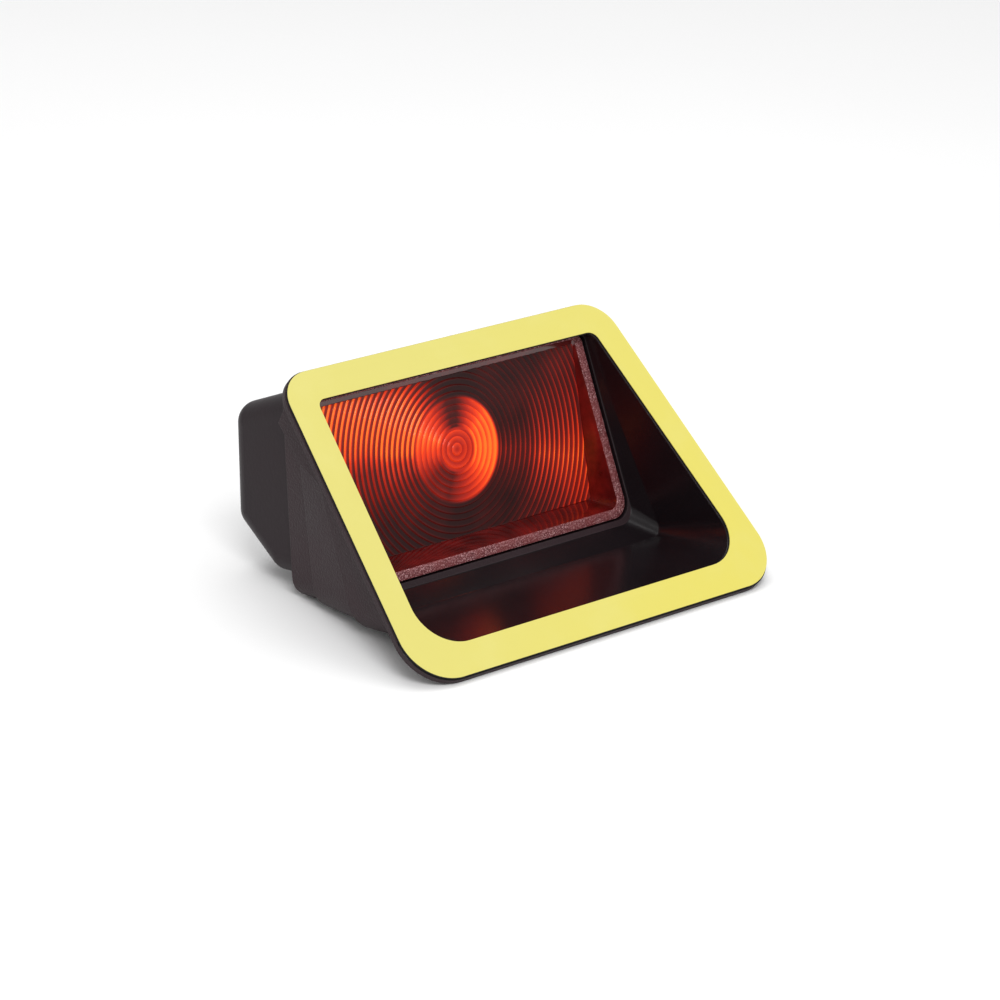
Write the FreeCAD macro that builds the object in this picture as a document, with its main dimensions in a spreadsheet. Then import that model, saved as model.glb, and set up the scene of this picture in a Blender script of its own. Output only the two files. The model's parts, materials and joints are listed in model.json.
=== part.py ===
import FreeCAD, Part
import math
import os
import Sketcher

# Hooded tail lamp, bonded by a flange behind a sloping panel.
# Every piece is drawn in lamp axes: X to the side, "up" along the lens face and "front" out of it,
# with the centre of the lens rings at the origin. In each body's own frame up is +Z and front is -Y.
# One common placement then lays the finished lamp down on its flange lip and the heel of its hood.

doc = FreeCAD.newDocument("tail_lamp")
sheet = doc.addObject("Spreadsheet::Sheet", "dims")
Vector = FreeCAD.Vector
Rotation = FreeCAD.Rotation
Placement = FreeCAD.Placement
size = {}


def cell(alias, number):
    """Store a number in the sheet under a word, once, and return the word."""
    if alias not in size:
        row = len(size) + 1
        sheet.set("A%d" % row, alias)
        sheet.set("B%d" % row, "%.5f" % number)
        sheet.setAlias("B%d" % row, alias)
        size[alias] = round(number, 5)
    return alias


def bind(thing, prop, alias, sign=""):
    thing.setExpression(prop, "%s<<dims>>.%s" % (sign, alias))


# ---- driving dimensions, millimetres and degrees ----

driving = {
    # mounting flange, in its own plane
    "flange_bottom_width": 130.8, "flange_top_width": 114.4, "flange_rise": 94.0, "flange_thick": 1.6,
    "flange_bottom_round": 13.3, "flange_top_round": 10.0, "flange_angle": 35.4,
    "lip_up": -46.0, "lip_front": 53.9,
    "mouth_bottom_width": 112.6, "mouth_top_width": 97.6, "mouth_rise": 75.1, "mouth_margin": 9.4,
    "mouth_bottom_round": 11.6, "mouth_top_round": 2.6,
    "tape_thick": 0.65, "film_thick": 0.15, "film_inset": 0.4,
    # lens tray
    "lens_half_bottom": 49.4, "lens_half_top": 48.4, "lens_bottom": -28.3, "lens_top": 22.7,
    "lens_round": 5.0, "lens_back": -3.0, "face_half": 45.3, "face_bottom": -23.6, "face_top": 20.5,
    "rim_width": 2.6, "rim_front": 5.04, "rim_tilt": 11.4,
    "seat_front": 14.0, "seat_gap": 0.3, "seal_thick": 1.0,
    # hood and rear cover
    "cavity_half": 45.2, "cavity_bottom": -23.4, "cavity_top": 20.4, "hood_top": 25.3,
    "cover_half": 49.4, "cover_wall": 2.2, "cover_round": 6.0, "joint_gap": 0.8,
    "back_face": -36.5, "back_lean": 9.5, "land_thick": 1.8,
    "post_radius": 3.2, "post_side": 38.0, "post_up": 6.0, "post_hole_long": 8.0,
    # reflector
    "plate_front": -6.0, "plate_thick": 1.2, "dish_vertex": -28.5,
    "dish_mouth": 17.6, "dish_hole": 7.0, "dish_wall": 1.1,
    # quarter-turn bulb holder
    "boss_radius": 14.5, "boss_back": -39.4, "boss_wall": 2.3, "barrel_radius": 9.0, "barrel_front": -33.7,
    "hole_gap": 0.4, "lug_reach": 2.4, "lug_width": 5.0, "lug_thick": 1.8, "lug_gap": 0.3,
    "release_turn": 45.0, "holder_seal_thick": 1.1, "disc_radius": 12.8, "disc_thick": 2.6,
    "shroud_width": 13.0, "shroud_height": 11.0, "shroud_wall": 1.5, "shroud_long": 9.0,
    # wedge bulb
    "bulb_radius": 5.1, "bulb_wall": 0.6, "wedge_width": 9.4, "wedge_thick": 2.1, "wedge_long": 7.6,
    "bulb_long": 26.8, "wedge_end": -41.8, "wire_radius": 0.2,
    "filament_long": 5.0, "filament_up": 17.0, "filament_radius": 0.35, "neck_rise": 0.8, "glass_floor": 1.4,
    # contacts
    "leaf_thick": 0.4, "leaf_width": 3.0, "blade_thick": 0.8, "blade_width": 2.8, "blade_end": -47.0,
    # fasteners and vent
    "screw_radius": 1.25, "head_radius": 1.9, "head_high": 1.6, "screw_side": 30.0, "screw_up": -27.9,
    "slot_wide": 0.7, "slot_deep": 0.6, "reflector_grip": 8.0, "cover_grip": 9.5,
    "ear_back": -17.2, "ear_thick": 2.4, "ear_wide": 8.0, "ear_high": 6.6, "ear_rise": 1.4,
    "pilot_front": -16.0, "pilot_depth": 9.0,
    "vent_side": 20.0, "vent_stem": 2.0, "vent_cap": 4.2, "vent_seat_radius": 5.2, "vent_seat": -37.6,
    "vent_cap_thick": 1.8, "vent_bore": 1.0,
}
for name, number in driving.items():
    cell(name, number)

flange_slope = math.radians(size["flange_angle"])
rim_slope = math.radians(size["rim_tilt"])


def on_flange(along, proud):
    """Up and front of a point in the flange plane: along its slope, and proud of its front face."""
    up = size["lip_up"] + along * math.cos(flange_slope) + proud * math.sin(flange_slope)
    front = size["lip_front"] - along * math.sin(flange_slope) + proud * math.cos(flange_slope)
    return up, front


def station(name, low, high, half_low, half_high, round_low, round_high):
    """Cells of one rounded section: its lower and upper middle points (up, front) and its widths."""
    rise = math.hypot(high[0] - low[0], high[1] - low[1])
    cell(name + "_base_up", low[0])
    cell(name + "_base_front", low[1])
    cell(name + "_tilt", math.degrees(math.atan2(high[1] - low[1], high[0] - low[0])))
    cell(name + "_high", rise)
    cell(name + "_half_low", half_low)
    cell(name + "_half_high", half_high)
    cell(name + "_round_low", round_low)
    cell(name + "_round_high", round_high)
    return name


def flat_station(name, front, low, high, half_low, half_high, round_low, round_high=None):
    """A section parallel to the lens face."""
    round_high = round_low if round_high is None else round_high
    return station(name, (low, front), (high, front), half_low, half_high, round_low, round_high)


# ---- sketches ----

def origin_plane(body, role):
    return [item for item in body.Origin.OriginFeatures if item.Role == role][0]


def attach(body, name, role):
    sketch = body.newObject("Sketcher::SketchObject", name)
    sketch.AttachmentSupport = [(origin_plane(body, role), "")]
    sketch.MapMode = "FlatFace"
    return sketch


def facing(body, name, front_alias):
    """A sketch parallel to the lens face, a named distance in front of it."""
    sketch = attach(body, name, "XZ_Plane")
    sketch.AttachmentOffset = Placement(Vector(0, 0, size[front_alias]), Rotation())
    bind(sketch, "AttachmentOffset.Base.z", front_alias)
    return sketch


def side_on(body, name):
    return attach(body, name, "YZ_Plane")


def tangent_joint(sketch, first, first_end, second, second_end):
    sketch.addConstraint(Sketcher.Constraint("Tangent", first, first_end, second, second_end))


def rounded_section(body, name):
    """Sketch of a symmetric trapezoid with four rounded corners, placed as its station says."""
    sketch = attach(body, name + "_section", "XZ_Plane")
    base = Vector(0, size[name + "_base_up"], size[name + "_base_front"])
    sketch.AttachmentOffset = Placement(base, Rotation(Vector(1, 0, 0), size[name + "_tilt"]))
    bind(sketch, "AttachmentOffset.Base.y", name + "_base_up")
    bind(sketch, "AttachmentOffset.Base.z", name + "_base_front")
    sign = "-" if sketch.AttachmentOffset.Rotation.Axis.x < 0 else ""
    bind(sketch, "AttachmentOffset.Rotation.Angle", name + "_tilt", sign)
    draw_rounded(sketch, name)
    return sketch


def draw_rounded(sketch, name):
    rise = size[name + "_high"]
    corners = [(size[name + "_half_low"], 0, size[name + "_round_low"], "_half_low", "_round_low"),
               (size[name + "_half_high"], rise, size[name + "_round_high"], "_half_high", "_round_high")]
    path = [(-corners[0][0], 0, corners[0][2]), (corners[0][0], 0, corners[0][2]),
            (corners[1][0], rise, corners[1][2]), (-corners[1][0], rise, corners[1][2])]
    points = [Vector(x, y, 0) for x, y, radius in path]
    starts = []
    ends = []
    arcs = []
    for index, (x, y, radius) in enumerate(path):
        here = points[index]
        to_last = (points[index - 1] - here).normalize()
        to_next = (points[(index + 1) % 4] - here).normalize()
        half_angle = to_last.getAngle(to_next) / 2
        reach = radius / math.tan(half_angle)
        middle = (to_last + to_next).normalize()
        centre = here + middle * (radius / math.sin(half_angle))
        ends.append(here + to_last * reach)
        starts.append(here + to_next * reach)
        arcs.append(Part.Arc(ends[-1], centre - middle * radius, starts[-1]))
    lines = []
    for index in range(4):
        lines.append(sketch.addGeometry(Part.LineSegment(starts[index], ends[(index + 1) % 4]), False))
    rounds = [sketch.addGeometry(arc, False) for arc in arcs]
    for index in range(4):
        tangent_joint(sketch, rounds[index], 2, lines[index], 1)
        tangent_joint(sketch, lines[index - 1], 2, rounds[index], 1)
    sketch.addConstraint(Sketcher.Constraint("Horizontal", lines[0]))
    sketch.addConstraint(Sketcher.Constraint("Horizontal", lines[2]))
    sketch.addConstraint(Sketcher.Constraint("PointOnObject", lines[0], 1, -1))
    measured(sketch, Sketcher.Constraint("DistanceY", -1, 1, lines[2], 1, rise), name + "_high")
    for index, (x, y, radius) in enumerate(path):
        row = corners[0] if index < 2 else corners[1]
        measured(sketch, Sketcher.Constraint("Radius", rounds[index], radius), name + row[4])
        sharp = sketch.addGeometry(Part.Point(points[index]), True)
        sketch.addConstraint(Sketcher.Constraint("PointOnObject", sharp, 1, lines[index]))
        sketch.addConstraint(Sketcher.Constraint("PointOnObject", sharp, 1, lines[index - 1]))
        if x > 0:
            measured(sketch, Sketcher.Constraint("DistanceX", -1, 1, sharp, 1, x), name + row[3])
        else:
            measured(sketch, Sketcher.Constraint("DistanceX", sharp, 1, -1, 1, -x), name + row[3])


def measured(sketch, constraint, alias):
    """Add a constraint whose value follows a cell."""
    index = sketch.addConstraint(constraint)
    bind(sketch, "Constraints[%d]" % index, alias)


def draw_circle(sketch, name, across, up, radius_alias):
    radius = size[radius_alias]
    circle = sketch.addGeometry(Part.Circle(Vector(across, up, 0), Vector(0, 0, 1), radius), False)
    measured(sketch, Sketcher.Constraint("Radius", circle, radius), radius_alias)
    pin_point(sketch, name, circle, 3, across, up)


def pin_point(sketch, name, shape, end, across, up):
    """Hold a point at its place from the origin; an offset of zero ties it to the axis."""
    for axis, kind, number in ((-2, "DistanceX", across), (-1, "DistanceY", up)):
        if abs(number) < 1e-9:
            sketch.addConstraint(Sketcher.Constraint("PointOnObject", shape, end, axis))
            continue
        alias = cell("%s_%s" % (name, "across" if kind == "DistanceX" else "height"), abs(number))
        if number > 0:
            measured(sketch, Sketcher.Constraint(kind, -1, 1, shape, end, number), alias)
        else:
            measured(sketch, Sketcher.Constraint(kind, shape, end, -1, 1, -number), alias)


def draw_polygon(sketch, name, points):
    """A closed outline of straight edges, every corner held by its own two cells."""
    lines = []
    for index, (x, y) in enumerate(points):
        x_next, y_next = points[(index + 1) % len(points)]
        lines.append(sketch.addGeometry(Part.LineSegment(Vector(x, y, 0), Vector(x_next, y_next, 0)), False))
    for index, (x, y) in enumerate(points):
        sketch.addConstraint(Sketcher.Constraint("Coincident", lines[index - 1], 2, lines[index], 1))
        pin_point(sketch, "%s_p%d" % (name, index), lines[index], 1, x, y)


def side_outline(body, name, points):
    """A side-on outline from (up, front) points."""
    sketch = side_on(body, name)
    draw_polygon(sketch, name, [(-front, up) for up, front in points])
    return sketch


def box_outline(sketch, name, across, up, wide, high):
    left = across - wide / 2
    low = up - high / 2
    right, top = left + wide, low + high
    draw_polygon(sketch, name, [(left, low), (right, low), (right, top), (left, top)])


# ---- features ----

def side_word(across):
    return "left" if across < 0 else "right"


def row_word(up):
    return "low" if up < 0 else "high"


def new_body(label):
    body = doc.addObject("PartDesign::Body", label)
    body.Label = label
    return body


def extrude(body, kind, name, sketch, length_alias, towards_front=True, both_ways=False):
    """Pad or pocket a sketch; the direction is said in lamp terms for either kind."""
    feature = body.newObject("PartDesign::" + kind, name)
    feature.Profile = sketch
    feature.Length = size[length_alias]
    bind(feature, "Length", length_alias)
    feature.Midplane = both_ways
    feature.Reversed = (not both_ways) and (towards_front == (kind == "Pocket"))
    return feature


def loft(body, kind, name, first, second):
    feature = body.newObject("PartDesign::" + kind, name)
    feature.Profile = first
    feature.Sections = [second]
    feature.Ruled = True
    return feature


def spin(body, kind, name, sketch):
    """Turn a side-on outline about the lamp's front-to-back axis."""
    feature = body.newObject("PartDesign::" + kind, name)
    feature.Profile = sketch
    feature.ReferenceAxis = (sketch, ["H_Axis"])
    feature.Angle = 360
    return feature


def ring_of(body, original, sketch, count):
    pattern = body.newObject("PartDesign::PolarPattern", original.Name + "_ring")
    pattern.Originals = [original]
    pattern.Axis = (sketch, ["N_Axis"])
    pattern.Angle = 360
    pattern.Occurrences = count
    body.Tip = pattern
    return pattern


def frame_pad(body, name, outer, inner, length_alias, towards_front):
    """A flat ring: one section padded, the other cut out of it."""
    extrude(body, "Pad", name + "_plate", rounded_section(body, outer), length_alias, towards_front)
    hole = extrude(body, "Pocket", name + "_window", rounded_section(body, inner), length_alias, towards_front)
    return hole


# ---- sections shared by neighbouring pieces ----

joint_low = (-31.0, -14.0)
joint_high = (size["hood_top"], -7.5)
joint_lean = (joint_high[1] - joint_low[1]) / (joint_high[0] - joint_low[0])


def joint_front(up, behind=0.0):
    """Front of the parting plane between hood and rear cover at a height, or a little behind it."""
    return joint_low[1] + (up - joint_low[0]) * joint_lean - behind


def back_front(up):
    """Front of the leaning back face of the rear cover at a height."""
    return size["back_face"] + up * math.tan(math.radians(size["back_lean"]))


def joint_station(name, low, high, half, corner, behind=0.0):
    return station(name, (low, joint_front(low, behind)), (high, joint_front(high, behind)),
                   half, half, corner, corner)


def flange_station(name, proud, inset, outer):
    """Outline of the flange (outer) or of its mouth, shrunk or grown by an inset, at a height proud of it."""
    if outer:
        start, rise = 0.0, size["flange_rise"]
        low, high = size["flange_bottom_width"] / 2, size["flange_top_width"] / 2
        round_low, round_high = size["flange_bottom_round"], size["flange_top_round"]
    else:
        start, rise = size["mouth_margin"], size["mouth_rise"]
        low, high = size["mouth_bottom_width"] / 2, size["mouth_top_width"] / 2
        round_low, round_high = size["mouth_bottom_round"], size["mouth_top_round"]
    return station(name, on_flange(start + inset, proud), on_flange(start + rise - inset, proud),
                   low - inset, high - inset, max(round_low - inset, 0.6), max(round_high - inset, 0.6))


# ---- hood ----

def make_hood():
    """Black hood: three stages that grow towards the flange, stepped inside as well as outside."""
    body = new_body("hood")
    top = size["hood_top"]
    back = -size["flange_thick"]
    neck = station("hood_neck", joint_low, joint_high, 50.6, 50.2, 6.0, 4.0)
    collar = station("hood_collar", (-32.4, -2.5), (top, -1.2), 51.1, 50.4, 6.5, 4.0)
    step = station("hood_step", (-33.1, -3.1), (top + 0.2, -2.4), 51.9, 50.6, 6.5, 4.0)
    waist = station("hood_waist", (-36.0, 18.4), (top + 0.2, 1.0), 55.0, 50.8, 7.5, 4.0)
    shelf = station("hood_shelf", (-36.9, 17.7), (top + 0.4, 0.1), 55.8, 51.0, 8.0, 4.0)
    brow = flange_station("hood_brow", 0.6 * back, -2.2, False)
    loft(body, "AdditiveLoft", "first_stage", rounded_section(body, neck), rounded_section(body, collar))
    loft(body, "AdditiveLoft", "second_stage", rounded_section(body, step), rounded_section(body, waist))
    loft(body, "AdditiveLoft", "third_stage", rounded_section(body, shelf), rounded_section(body, brow))
    cheek = side_outline(body, "hood_cheek", [(20.3, -5.9), (17.5, -8.2), (6.9, -1.3), (1.1, 6.6),
                                              on_flange(60.0, back / 2), on_flange(88.0, back / 2)])
    extrude(body, "Pad", "cheeks", cheek, cell("cheek_span", 2 * 52.2), both_ways=True)
    plate = rounded_section(body, flange_station("hood_flange", back, 0.0, True))
    extrude(body, "Pad", "flange", plate, "flange_thick")
    mouth = rounded_section(body, flange_station("hood_mouth", 0.0, 0.0, False))
    crease = station("hood_crease", (-34.2, 19.3), (23.15, 2.2), 53.3, 48.9, 3.4, 2.4)
    throat = rounded_section(body, station("hood_throat", (-30.2, 12.0), (23.1, 1.3), 50.1, 48.8, 4.6, 2.0))
    loft(body, "SubtractiveLoft", "outer_funnel", mouth, rounded_section(body, crease))
    loft(body, "SubtractiveLoft", "inner_funnel", rounded_section(body, crease), throat)
    gap = size["seat_gap"]
    seat = flat_station("hood_seat", size["seat_front"], size["lens_bottom"] - gap, size["lens_top"] + gap,
                        size["lens_half_bottom"] + gap, size["lens_half_top"] + gap,
                        size["lens_round"] + gap, 2.0)
    seat_depth = size["seat_front"] - size["lens_back"] + size["seal_thick"]
    extrude(body, "Pocket", "lens_seat", rounded_section(body, seat), cell("seat_depth", seat_depth), False)
    cavity = flat_station("hood_cavity", 0.0, size["cavity_bottom"], size["cavity_top"],
                          size["cavity_half"], size["cavity_half"], 3.0)
    extrude(body, "Pocket", "cavity", rounded_section(body, cavity), cell("cavity_depth", 20.0), False)
    for side in (-1, 1):
        name = "pilot_%s" % side_word(side)
        pilot = facing(body, name, "pilot_front")
        draw_circle(pilot, name, side * size["screw_side"], size["screw_up"], "screw_radius")
        extrude(body, "Pocket", name + "_hole", pilot, "pilot_depth", True)
    return body


def make_tape():
    body = new_body("adhesive_tape")
    outer = flange_station("tape_outer", 0.0, size["film_inset"], True)
    inner = flange_station("tape_inner", 0.0, -size["film_inset"] / 2, False)
    frame_pad(body, "tape", outer, inner, "tape_thick", True)
    return body


def make_film():
    body = new_body("release_film")
    outer = flange_station("film_outer", size["tape_thick"], size["film_inset"], True)
    inner = flange_station("film_inner", size["tape_thick"], -size["film_inset"] / 2, False)
    frame_pad(body, "film", outer, inner, "film_thick", True)
    return body


# ---- lens ----

def rim_plane_front(up):
    return size["rim_front"] - up * math.tan(rim_slope)


def make_lens():
    """Red tray: ring face at the back, walls coming forward to a sloping rim."""
    body = new_body("lens")
    low, high = size["lens_bottom"], size["lens_top"]
    back = flat_station("lens_back_face", size["lens_back"], low, high, size["lens_half_bottom"],
                        size["lens_half_top"], size["lens_round"], 1.8)
    front = station("lens_rim", (low, rim_plane_front(low)), (high, rim_plane_front(high)),
                    size["lens_half_bottom"], size["lens_half_top"], size["lens_round"], 1.8)
    loft(body, "AdditiveLoft", "tray_block", rounded_section(body, back), rounded_section(body, front))
    rim = size["rim_width"]
    proud = 0.05
    inside_low, inside_high = low + rim, high - 1.0
    mouth = station("lens_mouth", (inside_low, rim_plane_front(inside_low) + proud),
                    (inside_high, rim_plane_front(inside_high) + proud),
                    size["lens_half_bottom"] - rim, size["lens_half_top"] - rim, 3.0, 1.2)
    face = flat_station("lens_face", 0.0, size["face_bottom"], size["face_top"],
                        size["face_half"], size["face_half"], 1.6, 1.0)
    loft(body, "SubtractiveLoft", "tray_hollow", rounded_section(body, mouth), rounded_section(body, face))
    return body


def make_lens_seal():
    body = new_body("lens_seal")
    inset = 0.6
    ledge = size["lens_back"] - size["seal_thick"]
    outer = flat_station("seal_outer", ledge, size["lens_bottom"] + inset, size["lens_top"] - inset,
                         size["lens_half_bottom"] - inset, size["lens_half_top"] - inset, 4.4, 1.4)
    inner = flat_station("seal_inner", ledge, size["cavity_bottom"] - inset, size["cavity_top"] + inset,
                         size["cavity_half"] + inset, size["cavity_half"] + inset, 3.0)
    frame_pad(body, "seal", outer, inner, "seal_thick", True)
    return body


# ---- rear cover and what it carries ----

def cover_outline():
    """Side-on outline of the rear cover, from the parting plane at the top round to the bottom."""
    gap = size["joint_gap"]
    top, top_back, heel, bevel, bottom = 25.0, 20.0, -11.0, -25.0, -25.9
    return [(top, joint_front(top, gap)), (top_back, back_front(top_back)), (heel, back_front(heel)),
            (bevel, -24.0), (bottom, joint_front(bottom, gap))]


def inset_outline(points, inset):
    """The same convex outline moved inwards by the wall, but run a little past its open first-to-last side."""
    shifted = []
    for (up, front), (up_next, front_next) in zip(points, points[1:]):
        run = math.hypot(up_next - up, front_next - front)
        normal = ((front_next - front) / run, -(up_next - up) / run)
        start = (up + normal[0] * inset, front + normal[1] * inset)
        shifted.append((start, ((up_next - up) / run, (front_next - front) / run)))
    result = [along_line(shifted[0], -1.5)]
    for first, second in zip(shifted, shifted[1:]):
        result.append(crossing(first, second))
    (up, front), (step_up, step_front) = shifted[-1]
    last = math.hypot(points[-1][0] - points[-2][0], points[-1][1] - points[-2][1])
    result.append((up + step_up * (last + 1.5), front + step_front * (last + 1.5)))
    return result


def along_line(line, distance):
    (up, front), (step_up, step_front) = line
    return up + step_up * distance, front + step_front * distance


def crossing(first, second):
    (up1, front1), (step_up1, step_front1) = first
    (up2, front2), (step_up2, step_front2) = second
    across = step_up1 * step_front2 - step_front1 * step_up2
    distance = ((up2 - up1) * step_front2 - (front2 - front1) * step_up2) / across
    return along_line(first, distance)


def soften(body, name, base, radius_alias, skip):
    """Fillet every edge of a feature that has no corner which the skip test knows."""
    doc.recompute()
    edges = []
    for index, edge in enumerate(base.Shape.Edges):
        if not all(skip(corner.Point) for corner in edge.Vertexes):
            edges.append("Edge%d" % (index + 1))
    fillet = body.newObject("PartDesign::Fillet", name)
    fillet.Base = (base, edges)
    fillet.Radius = size[radius_alias]
    bind(fillet, "Radius", radius_alias)
    doc.recompute()
    return fillet


def make_rear_cover():
    """Box behind the lens: a rounded shell, a spigot into the hood, screw ears, posts and the holder boss."""
    body = new_body("rear_cover")
    points = cover_outline()
    block = extrude(body, "Pad", "cover_block", side_outline(body, "cover_side", points),
                    cell("cover_span", 2 * size["cover_half"]), both_ways=True)

    def on_joint(corner):
        return abs(-corner.y - joint_front(corner.z, size["joint_gap"])) < 0.01

    outside = soften(body, "cover_softened", block, "cover_round", on_joint)
    outer_corners = [corner.Point for corner in outside.Shape.Vertexes]
    wall = size["cover_wall"]
    inside = side_outline(body, "cover_core", inset_outline(points, wall))
    core = extrude(body, "Pocket", "cover_hollow", inside,
                   cell("core_span", 2 * (size["cover_half"] - wall)), both_ways=True)

    def not_inside(corner):
        return on_joint(corner) or any((corner - known).Length < 0.01 for known in outer_corners)

    cell("core_round", size["cover_round"] - wall)
    soften(body, "cover_hollow_softened", core, "core_round", not_inside)
    gap = size["joint_gap"]
    land = joint_station("cover_land", -24.8, 24.0, 48.3, 4.0, gap + 0.05 + size["land_thick"])
    extrude(body, "Pad", "front_frame", rounded_section(body, land), "land_thick")
    spigot_half = size["cavity_half"] - 0.3
    spigot_low, spigot_high = size["cavity_bottom"] + 0.3, size["cavity_top"] - 0.3
    spigot = flat_station("cover_spigot", size["plate_front"] - size["plate_thick"], spigot_low, spigot_high,
                          spigot_half, spigot_half, 2.7)
    extrude(body, "Pad", "spigot_block", rounded_section(body, spigot), cell("spigot_long", 8.0), False)
    bore = flat_station("cover_bore", -5.0, spigot_low + 1.6, spigot_high - 1.6, spigot_half - 1.6,
                        spigot_half - 1.6, 1.5)
    extrude(body, "Pocket", "spigot_bore", rounded_section(body, bore), cell("bore_long", 14.0), False)
    boss = facing(body, "boss_circle", "boss_back")
    draw_circle(boss, "boss", 0, 0, "boss_radius")
    extrude(body, "Pad", "boss", boss, cell("boss_long", 9.0))
    well = facing(body, "well_circle", cell("well_back", size["boss_back"] + size["boss_wall"]))
    draw_circle(well, "well", 0, 0, cell("well_radius", size["barrel_radius"] + size["lug_reach"] + 1.0))
    extrude(body, "Pocket", "well", well, cell("well_long", 12.0), True)
    hole = facing(body, "hole_circle", "boss_back")
    draw_circle(hole, "hole", 0, 0, cell("hole_radius", size["barrel_radius"] + size["hole_gap"]))
    extrude(body, "Pocket", "holder_hole", hole, "boss_wall", True)
    add_release_notches(body)
    add_posts(body)
    add_ears(body)
    add_vent_seat(body)
    return body


def add_vent_seat(body):
    """Round flat seat on the leaning back face, with a hole through it for the stem of the vent plug."""
    seat = facing(body, "vent_seat_circle", "vent_seat")
    draw_circle(seat, "vent", size["vent_side"], 0, "vent_seat_radius")
    extrude(body, "Pad", "vent_seat_pad", seat, cell("vent_seat_long", 2.6))
    hole = facing(body, "vent_hole_circle", "vent_seat")
    draw_circle(hole, "vent", size["vent_side"], 0, "vent_stem")
    extrude(body, "Pocket", "vent_hole", hole, cell("vent_hole_long", 4.0), True)


def add_release_notches(body):
    """Three notches that let the lugs of the bulb holder out after its turn."""
    reach = size["barrel_radius"] + size["lug_reach"] + size["hole_gap"]
    notch = facing(body, "notch_box", "boss_back")
    turned = Placement(Vector(0, 0, size["boss_back"]), Rotation(Vector(0, 0, 1), -size["release_turn"]))
    notch.AttachmentOffset = turned
    box_outline(notch, "notch", 0, reach - 3.0, size["lug_width"] + 1.0, 6.0)
    cut = extrude(body, "Pocket", "release_notch", notch, "boss_wall", True)
    ring_of(body, cut, notch, 3)


def add_posts(body):
    """Four posts from the leaning back wall that carry the reflector, each with a blind pilot hole."""
    front = cell("post_front", size["plate_front"] - size["plate_thick"] - 0.02)
    for up in (-size["post_up"], size["post_up"]):
        row = row_word(up)
        posts = facing(body, "posts_" + row, front)
        pilots = facing(body, "post_pilots_" + row, front)
        for across in (-size["post_side"], size["post_side"]):
            name = "post_%s_%s" % (side_word(across), row)
            draw_circle(posts, name, across, up, "post_radius")
            draw_circle(pilots, name + "_pilot", across, up, "screw_radius")
        reach = size["post_front"] - back_front(up) - size["cover_wall"] / 2
        extrude(body, "Pad", "posts_%s_pad" % row, posts, cell("post_%s_long" % row, reach), False)
        extrude(body, "Pocket", "post_holes_" + row, pilots, "post_hole_long", False)


def add_ears(body):
    """Two ears under the cover, on the parting plane, for the screws into the hood."""
    for side in (-1, 1):
        name = "ear_%s" % side_word(side)
        ear = facing(body, name, "ear_back")
        box_outline(ear, name, side * size["screw_side"], size["screw_up"] + size["ear_rise"],
                    size["ear_wide"], size["ear_high"])
        extrude(body, "Pad", name + "_pad", ear, "ear_thick")
        hole = facing(body, name + "_circle", "ear_back")
        draw_circle(hole, name + "_hole", side * size["screw_side"], size["screw_up"], "screw_radius")
        extrude(body, "Pocket", name + "_hole", hole, "ear_thick", True)


def make_housing_seal():
    """Flat gasket in the parting gap, a hair clear of the faces that squeeze it."""
    body = new_body("housing_seal")
    hair = 0.05
    behind = size["joint_gap"] - hair
    outer = joint_station("gasket_outer", -25.5, 24.6, 49.0, 5.6, behind)
    inner = joint_station("gasket_inner", size["cavity_bottom"] - 0.2, size["cavity_top"] + 0.2,
                          size["cavity_half"] + 0.2, 3.0, behind)
    thick = cell("gasket_thick", (behind - hair) * math.cos(math.atan(joint_lean)))
    frame_pad(body, "gasket", outer, inner, thick, True)
    return body


def make_reflector():
    """Bright plate with a parabolic dish around the bulb."""
    body = new_body("reflector")
    front = size["plate_front"]
    outline = flat_station("reflector_plate", front, size["cavity_bottom"] + 0.3, size["cavity_top"] - 0.3,
                           size["cavity_half"] - 0.3, size["cavity_half"] - 0.3, 2.7)
    extrude(body, "Pad", "plate", rounded_section(body, outline), "plate_thick", False)
    opening = facing(body, "dish_opening", "plate_front")
    draw_circle(opening, "dish_opening", 0, 0, "dish_mouth")
    extrude(body, "Pocket", "dish_window", opening, "plate_thick", False)
    steps = 8
    depth = front - size["dish_vertex"]
    inner = []
    for step in range(steps + 1):
        radius = size["dish_hole"] + (size["dish_mouth"] - size["dish_hole"]) * step / steps
        inner.append((radius, size["dish_vertex"] + depth * (radius / size["dish_mouth"]) ** 2))
    wall = size["dish_wall"]
    outer = [(radius + 0.6 * wall, place - wall) for radius, place in inner[:-1]]
    outer.append((size["dish_mouth"] + 0.6 * wall, front))
    dish = side_outline(body, "dish_side", inner + outer[::-1])
    spin(body, "Revolution", "dish", dish)
    screws = facing(body, "reflector_holes", "plate_front")
    for across in (-size["post_side"], size["post_side"]):
        for up in (-size["post_up"], size["post_up"]):
            name = "reflector_hole_%s_%s" % (side_word(across), row_word(up))
            draw_circle(screws, name, across, up, "screw_radius")
    extrude(body, "Pocket", "screw_holes", screws, "plate_thick", False)
    return body


# ---- bulb holder ----

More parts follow.
